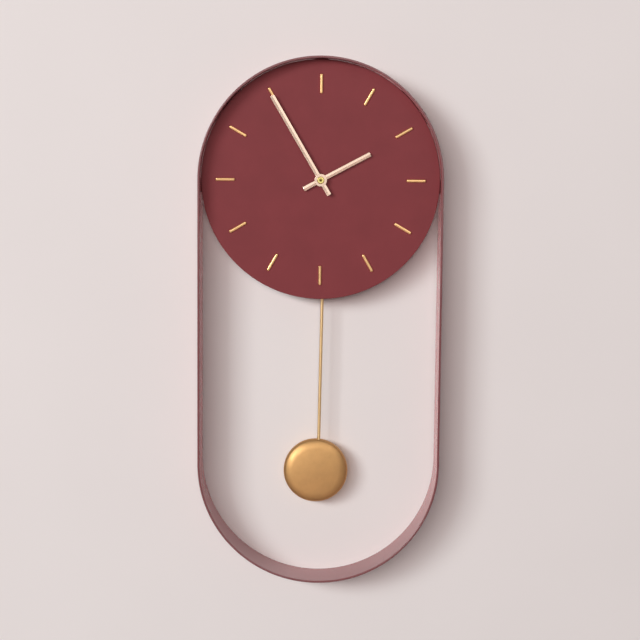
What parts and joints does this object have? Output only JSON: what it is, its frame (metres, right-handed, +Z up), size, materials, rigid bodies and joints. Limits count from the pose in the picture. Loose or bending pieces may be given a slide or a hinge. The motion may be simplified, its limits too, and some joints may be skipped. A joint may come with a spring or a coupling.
{
  "type": "pendulum wall clock",
  "caption": "Wall clock in a tall dark red metal loop with round ends: plain round dial with gold bars, two gold hands, and a rod pendulum with a domed round bob.",
  "frame": {"origin": "where the shank of the wall screw rests in the keyhole slot of the hanger bar, on the wall plane", "axes": "+X right as the clock is seen, +Y into the wall, +Z up; the dial faces -Y"},
  "size_m": [0.23, 0.044, 0.4998],
  "materials": {
    "band_paint": "satin",
    "dial_paint": "matte",
    "bar_brass": "polished",
    "hand_gold": "satin",
    "nut_brass": "polished",
    "rod_brass": "satin",
    "bob_gold": "satin",
    "bob_steel": "satin",
    "bracket_steel": "satin",
    "screw_steel": "satin",
    "fitting_brass": "satin",
    "gasket_rubber": "matte",
    "movement_black": "matte",
    "works_plastic": "satin",
    "knob_plastic": "matte",
    "magnet_dark": "satin",
    "stator_steel": "satin",
    "winding_copper": "gloss",
    "board_green": "gloss",
    "battery_jacket": "gloss"
  },
  "bodies": {
    "root": {"frame_band": "band_paint", "dial_plate": "dial_paint", "index_bar_01": "bar_brass", "index_bar_02": "bar_brass", "index_bar_03": "bar_brass", "index_bar_04": "bar_brass", "index_bar_05": "bar_brass", "index_bar_06": "bar_brass", "index_bar_07": "bar_brass", "index_bar_08": "bar_brass", "index_bar_09": "bar_brass", "index_bar_10": "bar_brass", "index_bar_11": "bar_brass", "index_bar_12": "bar_brass", "hanger_bar": "bracket_steel", "dial_bracket_left": "bracket_steel", "dial_bracket_right": "bracket_steel", "dial_bracket_top": "bracket_steel", "dial_studs": "screw_steel", "bracket_nuts": "screw_steel", "cover_screws": "screw_steel", "plate_screws": "screw_steel", "pivot_pin": "screw_steel", "battery_contact_positive": "screw_steel", "battery_contact_negative": "screw_steel", "quartz_crystal": "screw_steel", "dial_nut": "fitting_brass", "dial_washer": "fitting_brass", "bushing": "fitting_brass", "train_pillars": "fitting_brass", "rubber_gasket": "gasket_rubber", "movement_case": "movement_black", "movement_cover": "movement_black", "middle_plate": "works_plastic", "rear_plate": "works_plastic", "coil_bobbin": "works_plastic", "stator": "stator_steel", "coil_winding": "winding_copper", "drive_coil": "winding_copper", "circuit_board": "board_green", "battery": "battery_jacket"},
    "minute": {"minute_shaft": "fitting_brass", "minute_hand": "hand_gold", "hand_nut": "nut_brass", "clutch_spring": "screw_steel"},
    "hour": {"hour_wheel": "works_plastic", "hour_hand": "hand_gold"},
    "minute_wheel": {"minute_wheel": "works_plastic"},
    "setting": {"set_knob": "knob_plastic"},
    "centre_wheel": {"centre_wheel": "works_plastic"},
    "third_wheel": {"third_wheel": "works_plastic"},
    "fourth_wheel": {"fourth_wheel": "works_plastic"},
    "intermediate_wheel": {"intermediate_wheel": "works_plastic"},
    "rotor": {"rotor": "magnet_dark"},
    "pendulum": {"pendulum_lever": "movement_black", "pendulum_magnet": "magnet_dark", "pendulum_rod": "rod_brass", "bob_front": "bob_gold", "bob_back": "bob_steel", "bob_clamp": "fitting_brass"}
  },
  "joints": [
    {"name": "minute_hand_turn", "type": "hinge", "parent": "root", "child": "minute", "pos_m": [0, -0.035, -0.07], "axis": [0, 1, 0], "continuous": true},
    {"name": "hour_hand_turn", "type": "hinge", "parent": "root", "child": "hour", "pos_m": [0, -0.0335, -0.07], "axis": [0, 1, 0], "continuous": true},
    {"name": "minute_wheel_turn", "type": "hinge", "parent": "root", "child": "minute_wheel", "pos_m": [-0.0075, -0.0234, -0.07], "axis": [0, 1, 0], "continuous": true},
    {"name": "set_knob_turn", "type": "hinge", "parent": "root", "child": "setting", "pos_m": [-0.01007, -0.0075, -0.07705], "axis": [0, 1, 0], "continuous": true},
    {"name": "fourth_wheel_turn", "type": "hinge", "parent": "root", "child": "fourth_wheel", "pos_m": [0, -0.0175, -0.07], "axis": [0, 1, 0], "continuous": true},
    {"name": "third_wheel_turn", "type": "hinge", "parent": "root", "child": "third_wheel", "pos_m": [-0.00736, -0.0191, -0.06575], "axis": [0, 1, 0], "continuous": true},
    {"name": "centre_wheel_turn", "type": "hinge", "parent": "root", "child": "centre_wheel", "pos_m": [0, -0.0206, -0.07], "axis": [0, 1, 0], "continuous": true},
    {"name": "intermediate_wheel_turn", "type": "hinge", "parent": "root", "child": "intermediate_wheel", "pos_m": [0.00526, -0.0162, -0.07192], "axis": [0, 1, 0], "continuous": true},
    {"name": "rotor_turn", "type": "hinge", "parent": "root", "child": "rotor", "pos_m": [0.00977, -0.019, -0.07027], "axis": [0, 1, 0], "continuous": true},
    {"name": "pendulum_swing", "type": "hinge", "parent": "root", "child": "pendulum", "pos_m": [0, -0.0165, -0.1], "axis": [0, 1, 0], "range_deg": [-6.57, 5.43]}
  ],
  "couplings": [
    {"joint": "minute_wheel_turn", "follows": "minute_hand_turn", "ratio": -0.33333},
    {"joint": "hour_hand_turn", "follows": "minute_hand_turn", "ratio": 0.083333},
    {"joint": "set_knob_turn", "follows": "minute_hand_turn", "ratio": 1},
    {"joint": "third_wheel_turn", "follows": "fourth_wheel_turn", "ratio": -0.13333},
    {"joint": "centre_wheel_turn", "follows": "fourth_wheel_turn", "ratio": 0.016667},
    {"joint": "intermediate_wheel_turn", "follows": "fourth_wheel_turn", "ratio": -6},
    {"joint": "rotor_turn", "follows": "fourth_wheel_turn", "ratio": 30}
  ]
}
